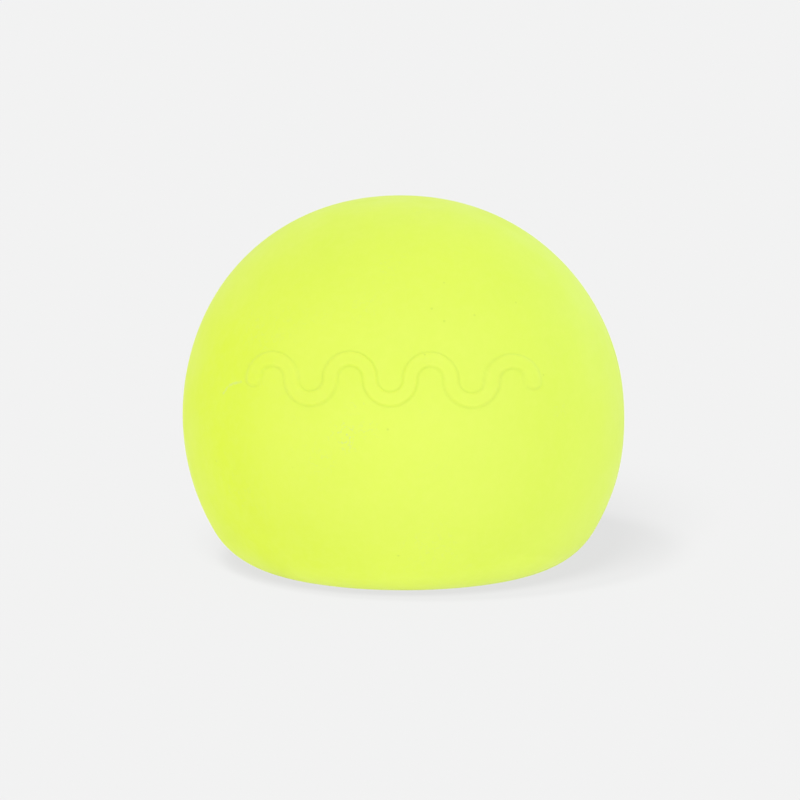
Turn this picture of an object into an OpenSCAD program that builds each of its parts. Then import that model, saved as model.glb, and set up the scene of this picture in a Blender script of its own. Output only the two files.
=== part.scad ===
// Soft stress ball: a thick rubbery skin filled with memory gel and closed by a plug
// underneath. It has slumped under its own weight, so it stands on a flat foot.
// The origin is the middle of the foot, +Z is up and the raised wave faces -Y.
// The skin is one moulding. It is drawn here as a body and a crown, because the crown
// is the part that a palm presses down into the ball.

/* [Ball] */
// Width of the ball at its widest
ball_w = 66; // [62:0.5:72]
// Height of the ball as it stands
ball_h = 55; // [53:0.5:58]
// Radius of the bulge that rolls under into the foot
haunch_r = 11; // [9:0.5:13]
// Thickness of the skin
skin_t = 2.5; // [2:0.1:3]
// Space left between the gel and the skin
gel_gap = 0.2; // [0.1:0.05:0.3]

/* [Press] */
// How far the crown is pressed down at most
press_travel = 22; // [16:1:24]
// Height left between the pressed crown's rim and the wall below it
rim_room = 4; // [2:0.5:5]
// Gap all round between the crown and the body of the skin
crown_gap = 0.2; // [0.1:0.05:0.3]

/* [Filling hole] */
// Radius of the filling hole
hole_r = 3.5; // [3:0.1:4]
// Radius of the thicker collar around the hole, inside the skin
collar_r = 8; // [7:0.5:9]
// Height of the collar above the inside of the skin
collar_h = 3; // [2:0.5:4]
// Radius of the round seat that holds the head of the plug
seat_r = 6.5; // [6:0.1:6.8]
// Depth of the seat
seat_depth = 1.8; // [1.6:0.1:2]

/* [Plug] */
// Radius of the plug's head
head_r = 5.6; // [5:0.1:5.8]
// Thickness of the plug's head
head_t = 1.2; // [1:0.1:1.3]
// How much wider the stem is than the hole that squeezes it
stem_bite = 0.1; // [0.05:0.05:0.2]
// How far the barb stands out past the stem
barb_out = 0.9; // [0.6:0.1:1.2]
// Length of the barb
barb_l = 2.6; // [2:0.1:3]
// Radius of the barb's blunt tip
barb_tip_r = 2.4; // [2:0.1:2.8]
// How far the glue stands out below the plug's head
glue_out = 0.2; // [0.1:0.05:0.3]

/* [Raised wave] */
// Height of the middle of the wave above the foot
wave_z = 33.5; // [32:0.5:34]
// Angle by which the wave faces upwards, in degrees
wave_lean = 12; // [0:1:15]
// Number of half waves, an odd number so that both sides match
half_waves = 7; // [3:2:7]
// Distance from one half wave to the next
wave_pitch = 5.8; // [5:0.1:6]
// Width of the raised band
wave_band = 2; // [1.6:0.2:2.4]
// How far the band stands out of the skin
wave_out = 0.4; // [0.3:0.1:0.6]

/* [Hidden] */
$fn = 96;

ball_r = ball_w / 2;
ball_z = ball_h - ball_r;
haunch_turn = asin((haunch_r - ball_z) / (ball_r - haunch_r));
foot_r = (ball_r - haunch_r) * cos(haunch_turn);
crown_r = sqrt(pow(ball_r - skin_t, 2) - pow((press_travel + rim_room) / 2, 2));
head_z = seat_depth - head_t;
collar_top = skin_t + collar_h;
stem_r = hole_r + stem_bite;
barb_r = stem_r + barb_out;
wave_y = -sqrt(pow(ball_r, 2) - pow(wave_z - ball_z, 2));
far = 2 * ball_w;
past = 1;

// Half of the upright section, set in from the outside by the distance inset.
// The ball's arc runs down to the haunch, whose smaller arc rolls under to the foot.
// The filler between them reaches a little past the edge of the ball's wedge.
module half_section(inset = 0) {
    intersection() {
        translate([0, ball_z]) circle(r = ball_r - inset);
        polygon([
            [0, ball_z],
            [far * cos(haunch_turn), ball_z + far * sin(haunch_turn)],
            [far, far],
            [0, far]
        ]);
    }
    translate([foot_r, haunch_r]) circle(r = haunch_r - inset);
    polygon([[0, inset], [foot_r, inset], [foot_r, haunch_r], [0, ball_z + past]]);
}

// The whole ball, set in from the outside by the distance inset.
module ball_form(inset = 0) {
    rotate_extrude() intersection() {
        half_section(inset);
        translate([0, -past]) square([far, far]);
    }
}

// A plain wave of half rings, curving up and down in turn, with round ends.
module wave_outline() {
    middle_r = wave_pitch / 2;
    for (i = [0 : half_waves - 1])
        translate([(i - (half_waves - 1) / 2) * wave_pitch, 0])
            intersection() {
                difference() {
                    circle(r = middle_r + wave_band / 2);
                    circle(r = middle_r - wave_band / 2);
                }
                translate([-wave_pitch, i % 2 == 0 ? 0 : -wave_pitch])
                    square([2 * wave_pitch, wave_pitch]);
            }
    for (side = [-1, 1])
        translate([side * half_waves * middle_r, 0]) circle(r = wave_band / 2);
}

// The raised wave follows the ball's front and is rooted half way into the skin.
module raised_wave() {
    difference() {
        intersection() {
            ball_form(-wave_out);
            translate([0, wave_y, wave_z]) rotate([90 - wave_lean, 0, 0])
                linear_extrude(height = ball_r, center = true) wave_outline();
        }
        ball_form(skin_t / 2);
    }
}

// The skin in one piece: a hollow ball with a collar, a hole and a seat in its foot.
module whole_skin() {
    difference() {
        union() {
            difference() {
                ball_form();
                ball_form(skin_t);
            }
            cylinder(r = collar_r, h = collar_top);
            raised_wave();
        }
        translate([0, 0, -past]) cylinder(r = hole_r, h = collar_top + 2 * past);
        translate([0, 0, -past]) cylinder(r = seat_r, h = seat_depth + past);
    }
}

// The upright column of space in which the crown goes down.
module press_column(radius) {
    translate([0, 0, ball_z]) cylinder(r = radius, h = far);
}

// Foot and sides of the skin, which stand on the table.
module skin_body() {
    color([0.92, 0.99, 0.41]) difference() {
        whole_skin();
        press_column(crown_r + crown_gap);
    }
}

// Top of the skin, which a palm presses down.
module skin_crown() {
    color([0.92, 0.99, 0.41]) intersection() {
        whole_skin();
        press_column(crown_r);
    }
}

// The memory gel, which fills the skin and closes round the collar and the barb.
module gel_filling() {
    color([0.95, 1, 0.55]) difference() {
        ball_form(skin_t + gel_gap);
        cylinder(r = collar_r + gel_gap, h = collar_top + gel_gap);
        cylinder(r = barb_r + gel_gap, h = collar_top + barb_l + gel_gap);
    }
}

// The plug: a flat head in the seat, a stem through the hole and a barb behind it.
module fill_plug() {
    color([0.8, 0.93, 0.25]) {
        translate([0, 0, head_z]) cylinder(r = head_r, h = head_t);
        translate([0, 0, seat_depth]) cylinder(r = stem_r, h = collar_top - seat_depth);
        translate([0, 0, collar_top]) cylinder(r1 = barb_r, r2 = barb_tip_r, h = barb_l);
    }
}

// Ring of clear glue that fills the seat around the head of the plug.
module glue_ring() {
    color([0.9, 0.9, 0.82]) translate([0, 0, head_z - glue_out]) difference() {
        cylinder(r = seat_r, h = head_t + glue_out);
        translate([0, 0, -past]) cylinder(r = head_r, h = head_t + glue_out + 2 * past);
    }
}

skin_body();
skin_crown();
gel_filling();
fill_plug();
glue_ring();
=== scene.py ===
import math
from functools import cached_property

import bpy
import numpy as np
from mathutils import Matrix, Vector, noise


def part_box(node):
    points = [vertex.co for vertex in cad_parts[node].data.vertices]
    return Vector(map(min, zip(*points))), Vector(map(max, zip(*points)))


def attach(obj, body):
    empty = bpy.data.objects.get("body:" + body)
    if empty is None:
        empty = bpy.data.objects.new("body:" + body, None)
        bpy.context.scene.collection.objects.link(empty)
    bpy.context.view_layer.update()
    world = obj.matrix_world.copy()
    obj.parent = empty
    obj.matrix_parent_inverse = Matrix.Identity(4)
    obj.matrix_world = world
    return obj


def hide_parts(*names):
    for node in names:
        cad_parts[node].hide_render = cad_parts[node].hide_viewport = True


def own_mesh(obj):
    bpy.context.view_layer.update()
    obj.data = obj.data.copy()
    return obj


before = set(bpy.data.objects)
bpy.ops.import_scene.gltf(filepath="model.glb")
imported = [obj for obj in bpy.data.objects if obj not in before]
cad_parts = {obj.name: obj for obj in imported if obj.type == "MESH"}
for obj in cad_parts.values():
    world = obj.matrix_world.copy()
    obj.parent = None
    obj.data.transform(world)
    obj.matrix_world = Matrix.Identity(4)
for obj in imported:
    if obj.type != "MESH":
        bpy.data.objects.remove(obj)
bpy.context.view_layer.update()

MM = 0.001

# Sizes that the frame gives.
BODY_LOW, BODY_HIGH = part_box("skin_body")
CROWN_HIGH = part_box("skin_crown")[1]
GEL_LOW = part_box("gel_filling")[0]
PLUG_LOW, PLUG_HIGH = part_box("fill_plug")
GLUE_LOW, GLUE_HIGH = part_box("glue_ring")

BALL_W = BODY_HIGH.x - BODY_LOW.x
BALL_H = CROWN_HIGH.z
GEL_INSET = GEL_LOW.z
GEL_GAP = 0.2 * MM
SKIN_T = GEL_INSET - GEL_GAP
SEAT_R = GLUE_HIGH.x
SEAT_DEPTH = GLUE_HIGH.z
HEAD_R = PLUG_HIGH.x
HEAD_Z = PLUG_LOW.z

# The ball's upright section: three arcs that run into each other, parted where the
# surface leans back by PART_TURN degrees and where it tucks under by as much.
PART_TURN = 30.0
MARKED_TURN = 7.0
HAUNCH_R = BALL_W / 6
FLANK_R = 0.513 * BALL_W
CROWN_R = 2 * (BALL_H - HAUNCH_R / 2 - FLANK_R)
FLANK_X = BALL_W / 2 - FLANK_R
FOOT_R = FLANK_X + (FLANK_R - HAUNCH_R) * math.cos(math.radians(PART_TURN))

# The filling hole, the collar around it, and the plug's stem and barb.
HOLE_R = 3.5 * MM
COLLAR_R = 8.0 * MM
COLLAR_TOP = SKIN_T + 3.0 * MM
STEM_R = HOLE_R + 0.1 * MM
BARB_R = STEM_R + 0.9 * MM
BARB_TIP_R = 2.4 * MM

# How a sagged ball strays from its round form: the top leans to one side, the flank hangs
# out on the other, and the seat stays true.
LEAN = 0.45 * MM
SAG = 0.25 * MM
TRUE_R = 10 * MM
SAGGED_R = 19 * MM

# A pressed ball swells sideways by this power of how much flatter it is, which keeps the
# gel's volume. The swelling starts at the collar and is whole at some way out from it.
SWELL_POWER = 0.5
SWELL_FROM = COLLAR_R
SWELL_TO = 0.45 * BALL_W

# The raised wave: half rings in turn above and below its middle line, drawn on a plane
# that touches the front and leans back.
WAVE_Z = 0.609 * BALL_H
WAVE_LEAN = math.radians(12)
HALF_WAVES = 7
WAVE_PITCH = 5.8 * MM
WAVE_BAND = 2.0 * MM
WAVE_OUT = 0.35 * MM
WAVE_EDGE = 0.35 * MM
# The width of the painted shade at the foot of the wave's edge.
PAINTED_EDGE_SHADE_W = 0.16 * MM

# The photograph is taken from a little to the right of the front.
VIEW_TURN = math.radians(3.5)
CAMERA_SIDE = Vector((math.sin(VIEW_TURN), -math.cos(VIEW_TURN), 0))
CAMERA_RIGHT = Vector((math.cos(VIEW_TURN), math.sin(VIEW_TURN), 0))


# ---------------------------------------------------------------- outlines

def arc(centre, radius, turns):
    """Points (r, z) along an arc. Angles are in degrees, up from straight outwards."""
    turns = np.radians(turns)
    around = np.stack([np.cos(turns), np.sin(turns)], axis=1)
    return np.asarray(centre) + radius * around


def wall(inset, crown_steps, wave_steps, flank_steps, haunch_steps):
    """The ball's section from the top down to the edge of the foot, set in by inset.

    The part of the flank that holds the wave, down to MARKED_TURN, has steps of its own."""
    rise = math.sin(math.radians(PART_TURN))
    reach = math.cos(math.radians(PART_TURN))
    flank = (FLANK_X, HAUNCH_R + (FLANK_R - HAUNCH_R) * rise)
    crown = (flank[0] + (FLANK_R - CROWN_R) * reach, flank[1] + (FLANK_R - CROWN_R) * rise)
    marked = np.linspace(PART_TURN, MARKED_TURN, wave_steps + 1)
    plain = np.linspace(MARKED_TURN, -PART_TURN, flank_steps + 1)
    top = arc(crown, CROWN_R - inset, np.linspace(90, PART_TURN, crown_steps + 1))
    side = arc(flank, FLANK_R - inset, np.concatenate([marked, plain[1:]]))
    roll = np.linspace(-PART_TURN, -90, haunch_steps + 1)
    under = arc((FOOT_R, HAUNCH_R), HAUNCH_R - inset, roll)
    pole = [[0.0, top[0, 1]]]
    return np.concatenate([pole, top, side[1:], under[1:]])


def on_ball(turn, share):
    """The point of the ball's outside that is turned by turn degrees from the front.

    Its height is the given share of the ball's."""
    steps = 60
    section = wall(0, steps, steps, steps, steps)[::-1]
    z = share * BALL_H
    r = np.interp(z, section[:, 1], section[:, 0])
    turn = math.radians(turn)
    return Vector((r * math.sin(turn), -r * math.cos(turn), z))


def rounded(corners, steps=4):
    """A path through corners (r, z, fillet radius), with each corner rounded."""
    path = []
    for i, (r, z, fillet) in enumerate(corners):
        here = np.array([r, z])
        if fillet == 0 or i in (0, len(corners) - 1):
            path.append(here)
            continue
        back = np.array(corners[i - 1][:2]) - here
        on = np.array(corners[i + 1][:2]) - here
        back, on = back / np.linalg.norm(back), on / np.linalg.norm(on)
        half = math.acos(np.clip(back @ on, -1, 1)) / 2
        middle = (back + on) / np.linalg.norm(back + on)
        centre = here + middle * fillet / math.sin(half)
        first = here + back * fillet / math.tan(half) - centre
        last = here + on * fillet / math.tan(half) - centre
        for share in np.linspace(0, 1, steps + 1):
            spoke = first * (1 - share) + last * share
            path.append(centre + spoke * fillet / np.linalg.norm(spoke))
    return np.array(path)


def filled_in(path, longest):
    """The path with points added so that no step is longer than longest."""
    dense = [path[0]]
    for a, b in zip(path[:-1], path[1:]):
        count = max(1, math.ceil(np.linalg.norm(b - a) / longest))
        dense += [a + (b - a) * k / count for k in range(1, count + 1)]
    return np.array(dense)


# ---------------------------------------------------------------- meshes

def turns_around(count, crowding=0.0):
    """Angles about the upright axis from the front. Crowding draws them to the front."""
    even = np.linspace(0, 2 * math.pi, count, endpoint=False)
    return even - crowding * np.sin(even)


def revolved(path, turns):
    """A path of (r, z) turned about the upright axis: its points, row by row."""
    r, z = path[:, 0, None], path[:, 1, None]
    x, y = r * np.sin(turns), -r * np.cos(turns)
    return np.stack([x, y, z + 0 * x], axis=2)


def smooth(share):
    """0 below 0 and 1 above 1, with soft ends between."""
    share = np.clip(share, 0, 1)
    return share * share * (3 - 2 * share)


def mesh_of_rows(name, rows, closed=False):
    """A mesh from rows of points round the axis. Rows on the axis become one point.

    With closed, the last row joins the first, as on a ring."""
    count = rows.shape[1]
    at_pole = [bool(np.allclose(row[:, :2], row[0, :2], atol=1e-9)) for row in rows]
    points, number = [], []
    for row, pole in zip(rows, at_pole):
        first = len(points)
        points += row[:1].tolist() if pole else row.tolist()
        number.append([first] * count if pole else list(range(first, first + count)))
    faces = []
    pairs = list(zip(number[:-1], number[1:])) + ([(number[-1], number[0])] if closed else [])
    for upper, lower in pairs:
        for i in range(count):
            k = (i + 1) % count
            face = [upper[i], lower[i], lower[k], upper[k]]
            faces.append(list(dict.fromkeys(face)))
    mesh = bpy.data.meshes.new(name)
    mesh.from_pydata(points, [], faces)
    mesh.polygons.foreach_set("use_smooth", [True] * len(mesh.polygons))
    mesh.update()
    piece = bpy.data.objects.new(name, mesh)
    bpy.context.collection.objects.link(piece)
    return piece


def from_wave(points, front_y):
    """How far points on the ball are from the middle of the wave's band.

    The wave's middle line crosses the ball's front at front_y. The back has no wave."""
    x, y, z = points[..., 0], points[..., 1], points[..., 2]
    height = (z - WAVE_Z) * math.cos(WAVE_LEAN) + (y - front_y) * math.sin(WAVE_LEAN)
    nearest = np.full(x.shape, np.inf)
    radius = WAVE_PITCH / 2
    for i in range(HALF_WAVES):
        along = x - (i - (HALF_WAVES - 1) / 2) * WAVE_PITCH
        up = height * (1 if i % 2 == 0 else -1)
        ring = np.abs(np.hypot(along, up) - radius)
        ends = np.hypot(np.abs(along) - radius, up)
        nearest = np.minimum(nearest, np.where(up >= 0, ring, ends))
    return np.where(y < 0, nearest, np.inf)


def undulation(points, size, seed):
    """Slow, seeded noise from about -1 to 1 at each point. Size is that of its humps."""
    shift = Vector((seed, 2.0 * seed, -seed))
    flat = points.reshape(-1, 3) / size
    values = [noise.noise(Vector(p) + shift) for p in flat]
    return np.array(values).reshape(points.shape[:-1])


def slumped(rows):
    """The rows of the skin or gel with the small unevenness of a ball that has sagged.

    The top leans a little to the left and the flank hangs out more on the right."""
    x, y, z = rows[..., 0], rows[..., 1], rows[..., 2]
    clear_of_seat = smooth((np.hypot(x, y) - TRUE_R) / (SAGGED_R - TRUE_R))
    lean = -LEAN * smooth((z / BALL_H - 0.5) / 0.5)
    sag = SAG * smooth(x / (0.4 * BALL_W)) * smooth(2 - z / (12 * MM))
    moved = rows.copy()
    moved[..., 0] += lean + sag * clear_of_seat
    uneven = 1 + 0.003 * undulation(rows, 30 * MM, 3.1) * smooth(z / (8 * MM))
    moved[..., :2] *= uneven[..., None]
    return moved


def make_skin():
    """The skin: a closed shell with the raised wave, the filling hole and its seat."""
    outside = wall(0, crown_steps=26, wave_steps=110, flank_steps=20, haunch_steps=14)
    inside = wall(SKIN_T, crown_steps=10, wave_steps=5, flank_steps=7, haunch_steps=7)[::-1]
    underside = rounded([
        (FOOT_R, 0, 0),
        (SEAT_R, 0, 0.35 * MM),
        (SEAT_R, SEAT_DEPTH, 0.25 * MM),
        (HOLE_R, SEAT_DEPTH, 0.15 * MM),
        (HOLE_R, COLLAR_TOP, 0.3 * MM),
        (COLLAR_R, COLLAR_TOP, 0.6 * MM),
        (COLLAR_R, SKIN_T, 1.0 * MM),
        (FOOT_R, SKIN_T, 0),
    ])
    underside = filled_in(underside, 1.6 * MM)
    path = np.concatenate([outside, underside[1:-1], inside])
    rows = revolved(path, turns_around(400, crowding=0.68))

    outer = len(outside)
    front_y = -np.interp(WAVE_Z, outside[::-1, 1], outside[::-1, 0])
    away = from_wave(rows[:outer], front_y)
    raised = WAVE_OUT * smooth((WAVE_BAND / 2 + WAVE_EDGE / 2 - away) / WAVE_EDGE)
    outward = rows[:outer] - np.array([0, 0, BALL_H - BALL_W / 2])
    outward /= np.linalg.norm(outward, axis=-1, keepdims=True)
    # Painted shade: a darker line at the foot of the wave's edge, kept as a point attribute for the
    # skin's colour.
    painted_edge_shade = np.zeros(rows.shape[:2])
    painted_edge_shade[:outer] = np.exp(-((away - WAVE_BAND / 2 - WAVE_EDGE / 3) / PAINTED_EDGE_SHADE_W) ** 2)

    rows = slumped(rows)
    rows[:outer] += outward * raised[..., None]
    skin = mesh_of_rows("skin_shell", rows)
    mark = skin.data.attributes.new("wave_painted_edge_shade", "FLOAT", "POINT")
    values = np.concatenate([painted_edge_shade[:1, 0], painted_edge_shade[1:-1].ravel(), painted_edge_shade[-1:, 0]])
    mark.data.foreach_set("value", values.astype(np.float32))
    return skin


def make_gel():
    """The gel: a closed body that fills the skin and closes round collar and barb."""
    barb_r = BARB_R + GEL_GAP
    collar = COLLAR_TOP + GEL_GAP
    hollow = rounded([
        (FOOT_R, GEL_INSET, 0),
        (COLLAR_R + GEL_GAP, GEL_INSET, 0.6 * MM),
        (COLLAR_R + GEL_GAP, collar, 0.6 * MM),
        (barb_r, collar, 0.4 * MM),
        (barb_r, PLUG_HIGH.z + GEL_GAP, 0.8 * MM),
        (0, PLUG_HIGH.z + GEL_GAP, 0),
    ])
    outside = wall(GEL_INSET, crown_steps=34, wave_steps=16, flank_steps=24, haunch_steps=12)
    path = np.concatenate([outside, filled_in(hollow, 1.2 * MM)[1:]])
    rows = slumped(revolved(path, turns_around(144)))
    ripple = 1 - 0.0015 * (1 + undulation(rows, 5 * MM, 7.7))
    rows[..., :2] *= ripple[..., None]
    return mesh_of_rows("gel_body", rows)


def make_plug():
    """The plug: a domed head with a gate dimple, a stem and a barb with a blunt tip."""
    path = rounded([
        (0, HEAD_Z + 0.22 * MM, 0),
        (0.7 * MM, HEAD_Z + 0.2 * MM, 0.15 * MM),
        (1.0 * MM, HEAD_Z, 0.15 * MM),
        (0.75 * HEAD_R, HEAD_Z + 0.02 * MM, 1.0 * MM),
        (HEAD_R, HEAD_Z + 0.15 * MM, 0.3 * MM),
        (HEAD_R, SEAT_DEPTH, 0.1 * MM),
        (STEM_R, SEAT_DEPTH, 0.15 * MM),
        (STEM_R, COLLAR_TOP, 0.2 * MM),
        (BARB_R, COLLAR_TOP, 0.25 * MM),
        (BARB_TIP_R, PLUG_HIGH.z, 0.4 * MM),
        (0, PLUG_HIGH.z, 0),
    ])
    rows = revolved(filled_in(path, 0.5 * MM), turns_around(96))
    return mesh_of_rows("plug_body", rows)


def make_glue():
    """The glue: an uneven ring round the head, its free face drawn in by its own skin."""
    dip = 0.35 * MM
    low, high = GLUE_LOW.z, SEAT_DEPTH
    width = SEAT_R - HEAD_R
    shares = np.linspace(0, 1, 9)
    free = [(HEAD_R + width * s, low + dip * math.sin(math.pi * s)) for s in shares]
    path = np.array(free + [(SEAT_R, high), (HEAD_R + width / 2, high), (HEAD_R, high)])
    rows = revolved(path, turns_around(160))
    wander = undulation(rows, 2.5 * MM, 5.3) * 0.12 * MM
    is_free = np.zeros(len(path))
    is_free[: len(free)] = np.sin(math.pi * shares) * 0.8 + 0.2
    rows[..., 2] += np.abs(wander) * is_free[:, None]
    return mesh_of_rows("glue_bead", rows, closed=True)


# ---------------------------------------------------------------- materials

class Nodes:
    """A short way to add and join the nodes of one tree."""

    def __init__(self, tree):
        self.tree = tree

    def add(self, kind, inputs=None, **settings):
        node = self.tree.nodes.new(kind)
        for key, value in settings.items():
            setattr(node, key, value)
        for key, value in (inputs or {}).items():
            self.give(node.inputs[key], value)
        return node

    def give(self, socket, value):
        if isinstance(value, bpy.types.NodeSocket):
            self.tree.links.new(value, socket)
        else:
            socket.default_value = value

    def remap(self, value, low, high, to_low=0.0, to_high=1.0):
        node = self.add(
            "ShaderNodeMapRange",
            {"Value": value, "From Min": low, "From Max": high, "To Min": to_low, "To Max": to_high},
            interpolation_type="SMOOTHSTEP",
        )
        return node.outputs["Result"]

    def maths(self, operation, a, b):
        node = self.add("ShaderNodeMath", operation=operation)
        self.give(node.inputs[0], a)
        self.give(node.inputs[1], b)
        return node.outputs["Value"]

    def vector_maths(self, operation, a, b=(0, 0, 0)):
        return self.add("ShaderNodeVectorMath", {0: a, 1: b}, operation=operation).outputs


class Surface(Nodes):
    """The nodes of one material."""

    def __init__(self, name):
        self.material = bpy.data.materials.new(name)
        self.material.use_nodes = True
        super().__init__(self.material.node_tree)
        self.shader = self.tree.nodes["Principled BSDF"]

    @cached_property
    def place(self):
        """Where a point of the piece is at rest, so that patterns move with the piece."""
        return self.add("ShaderNodeAttribute", attribute_name="rest_place").outputs["Vector"]

    def noise(self, size, detail=2.0, roughness=0.5):
        """Noise from 0 to 1, with humps of about the given size in metres."""
        node = self.add(
            "ShaderNodeTexNoise",
            {"Vector": self.place, "Scale": 1 / size, "Detail": detail, "Roughness": roughness},
        )
        return node.outputs["Fac"]

    def mix(self, share, a, b):
        node = self.add("ShaderNodeMix", data_type="RGBA")
        self.give(node.inputs["Factor"], share)
        self.give(node.inputs["A"], a)
        self.give(node.inputs["B"], b)
        return node.outputs["Result"]

    def bump(self, height, distance, strength=1.0, below=None):
        inputs = {"Height": height, "Distance": distance, "Strength": strength}
        if below is not None:
            inputs["Normal"] = below
        return self.add("ShaderNodeBump", inputs).outputs["Normal"]

    def specks(self, spacing, radius, rarity):
        """A mask of small round specks, on the given share of a grid's cells."""
        cells = self.add(
            "ShaderNodeTexVoronoi",
            {"Vector": self.place, "Scale": 1 / spacing, "Randomness": 1.0},
        )
        near = self.remap(cells.outputs["Distance"], 0.0, radius / spacing, 1.0, 0.0)
        pick = self.add("ShaderNodeSeparateColor", {"Color": cells.outputs["Color"]})
        chosen = self.maths("LESS_THAN", pick.outputs["Red"], rarity)
        return self.maths("MULTIPLY", near, chosen)

    def threads(self, size, width):
        """A mask of thin wandering threads, where noise crosses its middle value."""
        crossing = self.maths("SUBTRACT", self.noise(size, 3.0, 0.6), 0.5)
        return self.remap(self.maths("ABSOLUTE", crossing, 0.0), 0.0, width, 1.0, 0.0)

    def within(self, centre, radius, core=0.0):
        """1 up to the distance core from a point on the ball, fading to 0 at radius."""
        away = self.vector_maths("DISTANCE", self.place, centre)["Value"]
        return self.remap(away, core, radius, 1.0, 0.0)

    def near_line(self, start, end, width):
        """1 on the straight line from start to end, fading to 0 at a distance of width."""
        span = end - start
        out = self.vector_maths("SUBTRACT", self.place, start)["Vector"]
        along = self.vector_maths("DOT_PRODUCT", out, span)["Value"]
        share = self.add(
            "ShaderNodeClamp",
            {"Value": self.maths("DIVIDE", along, span.length_squared)},
        ).outputs["Result"]
        nearest = self.vector_maths("MULTIPLY", share, span)["Vector"]
        away = self.vector_maths("DISTANCE", out, nearest)["Value"]
        return self.remap(away, 0.0, width, 1.0, 0.0)

    def set(self, **values):
        for key, value in values.items():
            self.give(self.shader.inputs[key.replace("_", " ")], value)


# Where the skin has picked up lint: the turn from the front in degrees, the height as a
# share of the ball's, the radius and how thick the lint is.
LINT_SPOTS = [
    (-11.5, 0.46, 3.4 * MM, 1.2),
    (-5.5, 0.48, 2.4 * MM, 0.55),
    (-17.5, 0.39, 3.2 * MM, 0.45),
    (-8.5, 0.54, 2.5 * MM, 0.35),
    (47.5, 0.50, 1.8 * MM, 0.9),
]
# The turns and heights that a bent scuff on the left runs through.
SCUFF = [(-51, 0.53), (-49, 0.555), (-44.5, 0.57)]
SCUFF_W = 0.35 * MM
# The turns and heights of a few dark nicks.
NICKS = [(12.5, 0.78), (16, 0.75), (26, 0.76), (42.5, 0.78), (-0.5, 0.48), (2, 0.13)]
NICK_R = 0.30 * MM


def skin_colour_and_painted_light(m):
    """The skin's colour: cloudy and faintly mottled, with painted light in it.

    A painted highlight makes it paler in the middle of the front, painted shade makes it deeper on the
    left flank, and a painted pale reflection makes it cooler towards the right and the top."""
    yellow = (0.735, 0.895, 0.055, 1)
    green = (0.710, 0.875, 0.046, 1)
    painted_shade_tone = (0.725, 0.895, 0.028, 1)
    painted_reflection_tone = (0.700, 0.895, 0.115, 1)
    pale = (0.83, 0.95, 0.20, 1)

    tone = m.mix(m.remap(m.noise(16 * MM, 3.0), 0.3, 0.7), green, yellow)
    across = m.vector_maths("DOT_PRODUCT", m.place, (1, 0, 0))["Value"]
    height = m.vector_maths("DOT_PRODUCT", m.place, (0, 0, 1))["Value"]
    # Painted shade: the left flank, below the top, is tinted deeper, as if it were less lit.
    left = m.remap(across, -0.38 * BALL_W, -0.22 * BALL_W, 0.8, 0.0)
    low = m.remap(height, 0.62 * BALL_H, 0.78 * BALL_H, 1.0, 0.0)
    tone = m.mix(m.maths("MULTIPLY", left, low), tone, painted_shade_tone)
    # Painted reflection: the right side and the top turn paler and cooler, as white light reflecting at
    # the rim would make them.
    right = m.remap(across, -0.25 * BALL_W, 0.50 * BALL_W, 0.0, 0.50)
    top = m.remap(height, 0.65 * BALL_H, 0.95 * BALL_H, 0.0, 0.30)
    tone = m.mix(m.maths("MAXIMUM", right, top), tone, painted_reflection_tone)

    # Painted highlight: a pale patch in the middle of the front, where a broad soft light would shine.
    painted_highlight_at = Vector((0, -0.45 * BALL_W, 0.50 * BALL_H))
    painted_highlight = m.within(painted_highlight_at, 30 * MM, core=12 * MM)
    tone = m.mix(m.maths("MULTIPLY", painted_highlight, 0.26), tone, pale)
    mottle = m.noise(1.3 * MM, 3.0, 0.6)
    return m.mix(m.remap(mottle, 0.35, 0.75, 0.0, 0.10), tone, pale)


def lint_and_scuff(m):
    """A mask of fine lint, thickest at LINT_SPOTS, and of the scuff."""
    worn = m.remap(m.noise(11 * MM, 2.0), 0.5, 0.75, 0.0, 0.25)
    for turn, share, radius, thickness in LINT_SPOTS:
        spot = m.within(on_ball(turn, share), radius)
        worn = m.maths("MAXIMUM", worn, m.maths("MULTIPLY", spot, thickness))
    fibres = m.threads(1.3 * MM, 0.032)
    scraps = m.remap(m.noise(0.8 * MM, 2.0), 0.46, 0.56)
    wear = m.maths("MULTIPLY", m.maths("MULTIPLY", fibres, scraps), worn)
    rubbed = m.remap(m.noise(0.6 * MM, 2.0), 0.38, 0.62, 0.0, 0.75)
    for start, end in zip(SCUFF[:-1], SCUFF[1:]):
        line = m.near_line(on_ball(*start), on_ball(*end), SCUFF_W)
        wear = m.maths("MAXIMUM", wear, m.maths("MULTIPLY", line, rubbed))
    return wear


def pits_and_nicks(m):
    """A mask of small pits all over the skin and of the nicks."""
    pits = m.specks(2.4 * MM, 0.26 * MM, 0.05)
    for turn, share in NICKS:
        pits = m.maths("MAXIMUM", pits, m.within(on_ball(turn, share), NICK_R))
    return pits


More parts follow.
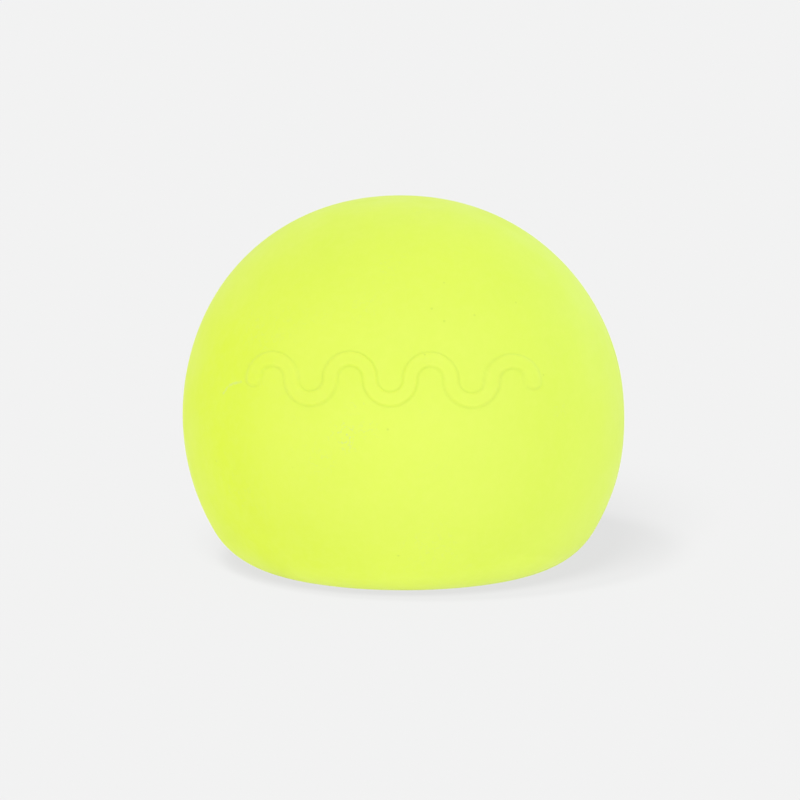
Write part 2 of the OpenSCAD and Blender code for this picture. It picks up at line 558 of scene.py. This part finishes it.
def skin_material():
    """Soft neon rubber, satin and fine-grained, with lint, pits, a wave edged with painted shade and a
    faint painted glow.
    """
    m = Surface("neon_skin")
    olive = (0.42, 0.60, 0.07, 1)
    lint = (0.65, 0.80, 0.28, 1)
    pits = pits_and_nicks(m)
    painted_edge_shade = m.add("ShaderNodeAttribute", attribute_name="wave_painted_edge_shade").outputs["Fac"]
    tone = m.mix(m.maths("MULTIPLY", lint_and_scuff(m), 0.85), skin_colour_and_painted_light(m), lint)
    tone = m.mix(m.maths("MULTIPLY", pits, 0.30), tone, olive)
    # Painted shade: the foot of the wave's edge is darkened towards olive.
    tone = m.mix(m.maths("MULTIPLY", painted_edge_shade, 0.11), tone, olive)
    grain = m.bump(m.noise(0.35 * MM, 3.0, 0.6), 0.02 * MM, 0.5)
    m.set(
        Base_Color=tone,
        Roughness=m.remap(m.noise(6 * MM, 4.0), 0.3, 0.7, 0.46, 0.58),
        Normal=m.bump(pits, -0.05 * MM, 0.8, grain),
        IOR=1.48,
        Subsurface_Weight=0.15,
        Subsurface_Radius=(1.0, 1.2, 0.25),
        Subsurface_Scale=1.2 * MM,
        # A faint painted glow: the skin gives out a little light of its own, standing in for the neon
        # colour's fluorescence and for light that scatters through the ball.
        Emission_Color=(0.75, 1.0, 0.05, 1),
        Emission_Strength=0.06,
    )
    return m.material


def gel_material():
    """Sticky clear gel with a yellow tint, cloudy streaks and tiny bubbles."""
    m = Surface("memory_gel")
    streaks = m.remap(m.noise(7 * MM, 4.0, 0.6), 0.35, 0.7)
    tone = m.mix(streaks, (0.86, 0.98, 0.28, 1), (0.95, 1.0, 0.55, 1))
    bubbles = m.specks(2.2 * MM, 0.45 * MM, 0.2)
    tone = m.mix(m.maths("MULTIPLY", bubbles, 0.6), tone, (1.0, 1.0, 0.85, 1))
    m.set(
        Base_Color=tone,
        Roughness=m.remap(m.noise(3 * MM), 0.3, 0.7, 0.12, 0.25),
        Normal=m.bump(bubbles, 0.2 * MM, 0.6),
        IOR=1.42,
        Transmission_Weight=0.55,
        Subsurface_Weight=0.4,
        Subsurface_Radius=(1.0, 1.2, 0.4),
        Subsurface_Scale=4 * MM,
    )
    return m.material


def plug_material():
    """Firmer rubber of a deeper yellow-green, a little scuffed."""
    m = Surface("plug_rubber")
    tone = m.mix(m.remap(m.noise(2.5 * MM, 3.0), 0.3, 0.7), (0.56, 0.80, 0.05, 1), (0.66, 0.88, 0.08, 1))
    scuffs = m.specks(0.7 * MM, 0.2 * MM, 0.12)
    tone = m.mix(m.maths("MULTIPLY", scuffs, 0.4), tone, (0.30, 0.42, 0.05, 1))
    m.set(
        Base_Color=tone,
        Roughness=m.remap(m.noise(1.2 * MM, 3.0), 0.3, 0.7, 0.38, 0.52),
        Normal=m.bump(m.noise(0.3 * MM, 3.0), 0.02 * MM, 0.5),
        IOR=1.5,
        Subsurface_Weight=0.4,
        Subsurface_Radius=(1.0, 1.1, 0.3),
        Subsurface_Scale=1.0 * MM,
    )
    return m.material


def glue_material():
    """Clear glue that has yellowed slightly, with fine bubbles."""
    m = Surface("clear_glue")
    bubbles = m.specks(0.6 * MM, 0.14 * MM, 0.25)
    age = m.remap(m.noise(1.5 * MM, 3.0), 0.3, 0.7)
    tone = m.mix(age, (0.88, 0.88, 0.72, 1), (0.94, 0.94, 0.86, 1))
    m.set(
        Base_Color=m.mix(m.maths("MULTIPLY", bubbles, 0.5), tone, (1, 1, 1, 1)),
        Roughness=m.remap(m.noise(0.8 * MM, 2.0), 0.3, 0.7, 0.06, 0.18),
        Normal=m.bump(m.noise(0.9 * MM, 2.0), 0.05 * MM, 0.6),
        IOR=1.47,
        Transmission_Weight=0.7,
    )
    return m.material


def floor_material(tone, glow):
    """A pale light table: most of its white comes from below, so its shadows are weak."""
    m = Surface("light_table")
    m.set(
        Base_Color=(tone, tone, tone, 1),
        Roughness=0.9,
        Specular_IOR_Level=0.0,
        Emission_Color=(1, 1, 1, 1),
        Emission_Strength=glow,
    )
    return m.material


# ---------------------------------------------------------------- the assembly

def swelling():
    """Geometry nodes that let a flattened piece swell sideways, except near its seat.

    How flat it is shows in its top, which they compare with its top at rest."""
    tree = bpy.data.node_groups.new("swelling", "GeometryNodeTree")
    for way in ("INPUT", "OUTPUT"):
        tree.interface.new_socket("Geometry", in_out=way, socket_type="NodeSocketGeometry")
    tree.interface.new_socket("Rest Top", in_out="INPUT", socket_type="NodeSocketFloat")
    m = Nodes(tree)
    given = m.add("NodeGroupInput").outputs
    box = m.add("GeometryNodeBoundBox", {"Geometry": given["Geometry"]})
    top = m.add("ShaderNodeSeparateXYZ", {"Vector": box.outputs["Max"]}).outputs["Z"]
    flatter = m.maths("DIVIDE", given["Rest Top"], top)
    wider = m.maths("SUBTRACT", m.maths("POWER", flatter, SWELL_POWER), 1.0)
    point = m.add("GeometryNodeInputPosition").outputs["Position"]
    away = m.vector_maths("LENGTH", point)["Value"]
    growth = m.maths("MULTIPLY", wider, m.remap(away, SWELL_FROM, SWELL_TO))
    scale = m.maths("ADD", growth, 1.0)
    scales = m.add("ShaderNodeCombineXYZ", {"X": scale, "Y": scale, "Z": 1.0})
    place = m.vector_maths("MULTIPLY", point, scales.outputs["Vector"])["Vector"]
    moved = m.add("GeometryNodeSetPosition", {"Geometry": given["Geometry"], "Position": place})
    m.add("NodeGroupOutput", {"Geometry": moved.outputs["Geometry"]})
    return tree


SWELLING = swelling()


def fit(piece, material, slot, *nodes):
    """Puts a piece in the place of CAD nodes: on the base, flattening with the press."""
    places = np.empty(3 * len(piece.data.vertices), np.float32)
    piece.data.vertices.foreach_get("co", places)
    rest = piece.data.attributes.new("rest_place", "FLOAT_VECTOR", "POINT")
    rest.data.foreach_set("vector", places)
    swell = piece.modifiers.new("swell", "NODES")
    swell.node_group = SWELLING
    swell[SWELLING.interface.items_tree["Rest Top"].identifier] = float(places[2::3].max())
    piece.data.materials.append(material)
    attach(piece, "base")
    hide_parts(*nodes)
    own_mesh(piece)


skin = make_skin()
fit(skin, skin_material(), "skin", "skin_body", "skin_crown")
fit(make_gel(), gel_material(), "gel", "gel_filling")
fit(make_plug(), plug_material(), "plug", "fill_plug")
fit(make_glue(), glue_material(), "glue", "glue_ring")


# ---------------------------------------------------------------- the studio

# The background's brightness, and the share of light that the table throws back.
WHITE = 0.888
FLOOR_TONE = 0.02


def make_sun(name, azimuth, elevation, strength, width, tint=(1, 1, 1), only=None, shadows=True):
    """A soft distant light. Azimuth 0 comes from the camera's side and 90 from its right.

    With only, it lights nothing but that object. Returns what it adds to a level floor."""
    lamp = bpy.data.lights.new(name, "SUN")
    lamp.energy = strength
    lamp.color = tint
    lamp.angle = math.radians(width)
    lamp.use_shadow = shadows
    sun = bpy.data.objects.new(name, lamp)
    a, e = VIEW_TURN + math.radians(azimuth), math.radians(elevation)
    toward = Vector((math.sin(a) * math.cos(e), -math.cos(a) * math.cos(e), math.sin(e)))
    sun.rotation_mode = "QUATERNION"
    sun.rotation_quaternion = toward.to_track_quat("Z", "Y")
    bpy.context.collection.objects.link(sun)
    if only is not None:
        lit = bpy.data.collections.new(name + "_lit")
        lit.objects.link(only)
        sun.light_linking.receiver_collection = lit
    return max(0.0, strength * math.sin(e) / math.pi)


def make_studio():
    """A light table under an even white sky, with soft lamps that cast weak shadows.

    The table's own glow makes up what the lamps leave out, so it merges with the sky. One
    lamp lights the ball from below the table, in place of the light that a white board
    throws back."""
    reach = 30.0
    low = -0.02 * MM
    corners = [(-reach, -reach, low), (reach, -reach, low), (reach, reach, low), (-reach, reach, low)]
    mesh = bpy.data.meshes.new("floor")
    mesh.from_pydata(corners, [], [(0, 1, 2, 3)])
    floor = bpy.data.objects.new("floor", mesh)
    bpy.context.collection.objects.link(floor)

    received = WHITE
    received += make_sun("front", azimuth=-2, elevation=5, strength=0.68, width=80)
    make_sun("through_table", azimuth=-12, elevation=-62, strength=0.55, width=90, shadows=False)
    received += make_sun("rim", azimuth=130, elevation=28, strength=0.20, width=60, tint=(0.5, 1, 1))
    received += make_sun("table_key", azimuth=-15, elevation=45, strength=19.5, width=25, only=floor)
    received += make_sun("table_side", azimuth=-45, elevation=65, strength=7.5, width=10, only=floor)
    glow = WHITE - FLOOR_TONE * received
    floor.data.materials.append(floor_material(FLOOR_TONE, glow))


def make_world(brightness):
    """Even white light from all round."""
    world = bpy.data.worlds.new("studio")
    world.use_nodes = True
    sky = world.node_tree.nodes["Background"]
    sky.inputs["Color"].default_value = (1, 1, 1, 1)
    sky.inputs["Strength"].default_value = brightness
    bpy.context.scene.world = world


def make_camera():
    """A long lens in front of the ball, a little above it and to its right."""
    elevation = math.radians(10.5)
    distance = 0.90
    frame_width = 1.81 * BALL_W
    lens = bpy.data.cameras.new("camera")
    lens.sensor_width = 36
    lens.lens = lens.sensor_width * distance / frame_width
    camera = bpy.data.objects.new("camera", lens)
    aim_left, aim_up = 0.0077 * BALL_W, 0.4486 * BALL_H
    target = -aim_left * CAMERA_RIGHT + Vector((0, 0, aim_up))
    back = math.cos(elevation) * CAMERA_SIDE + Vector((0, 0, math.sin(elevation)))
    camera.location = target + back * distance
    camera.rotation_mode = "QUATERNION"
    camera.rotation_quaternion = back.to_track_quat("Z", "Y")
    bpy.context.collection.objects.link(camera)
    bpy.context.scene.camera = camera


make_world(WHITE)
make_studio()
make_camera()
bpy.context.scene.view_settings.view_transform = "Standard"
